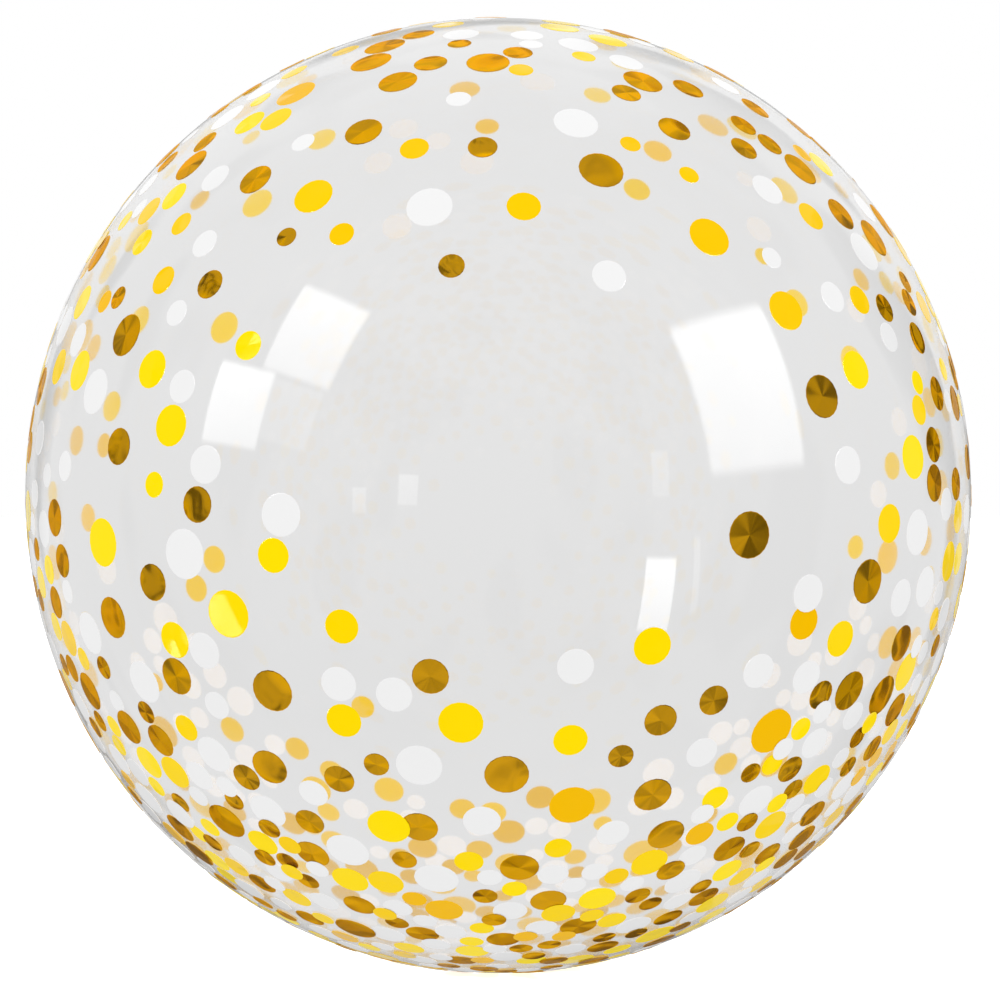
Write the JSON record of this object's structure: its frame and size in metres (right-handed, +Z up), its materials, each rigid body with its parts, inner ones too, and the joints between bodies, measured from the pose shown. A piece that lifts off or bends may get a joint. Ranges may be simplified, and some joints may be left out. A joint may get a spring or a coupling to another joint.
{
  "type": "bubble balloon",
  "caption": "Round clear bubble balloon, inflated and sealed, printed all over with gold foil, yellow and white dots that leave a clear window at the front.",
  "frame": {"origin": "centre of the small flat spot on the underside that the balloon settles on", "axes": "+Z up through the crown, front with the clear window towards -Y, +X to the right seen from the front"},
  "size_m": [0.556, 0.556, 0.5601],
  "materials": {
    "clear_film": "clear, very smooth stretched plastic film",
    "gold_foil": "polished gold foil with fine spun and wavy relief",
    "yellow_ink": "glossy opaque ink",
    "white_ink": "glossy opaque ink"
  },
  "bodies": {
    "root": {"bubble_envelope": "clear_film"}
  },
  "joints": []
}
